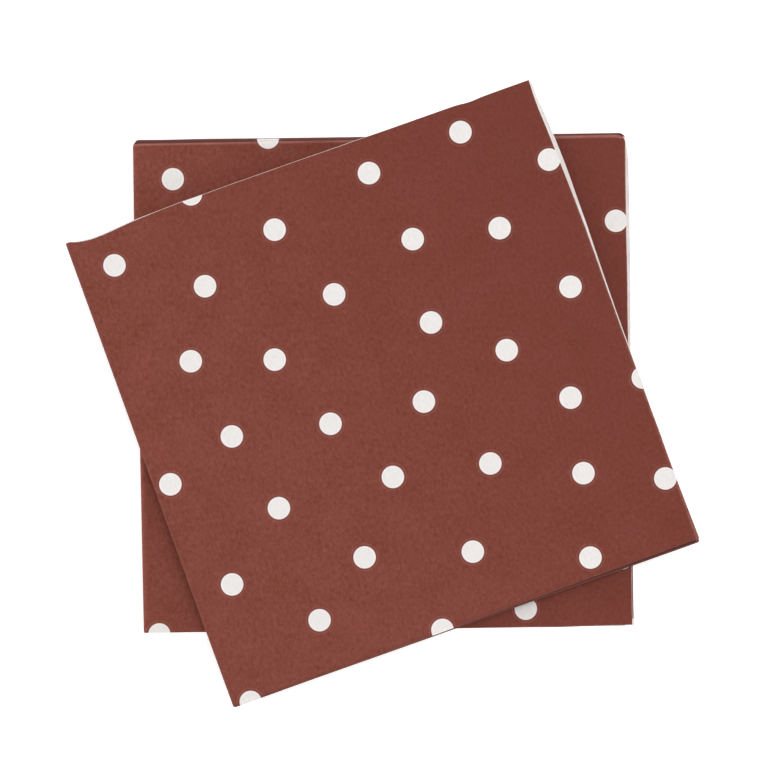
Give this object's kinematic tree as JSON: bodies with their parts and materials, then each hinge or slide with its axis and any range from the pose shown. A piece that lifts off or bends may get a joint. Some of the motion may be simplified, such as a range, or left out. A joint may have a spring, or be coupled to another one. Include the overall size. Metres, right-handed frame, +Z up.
{
  "type": "stack of paper napkins",
  "caption": "Quarter-folded square paper napkins, lying askew one on another, printed red-brown with scattered white dots outside and plain white inside.",
  "frame": {"origin": "on the surface that the stack lies on, under the middle of its bounding box", "axes": "+Z up through the stack, +Y towards the top of the picture and +X to its right, so the lower napkin's sides lie almost along X and Y"},
  "size_m": [0.2122, 0.2102, 0.0051],
  "materials": {
    "printed_tissue": "matte printed tissue, finely creped",
    "white_tissue": "matte unprinted tissue, finely creped"
  },
  "bodies": {
    "root": {"upper_printed_ply": "printed_tissue", "upper_white_plies": "white_tissue", "lower_printed_ply": "printed_tissue", "lower_white_plies": "white_tissue"}
  },
  "joints": []
}
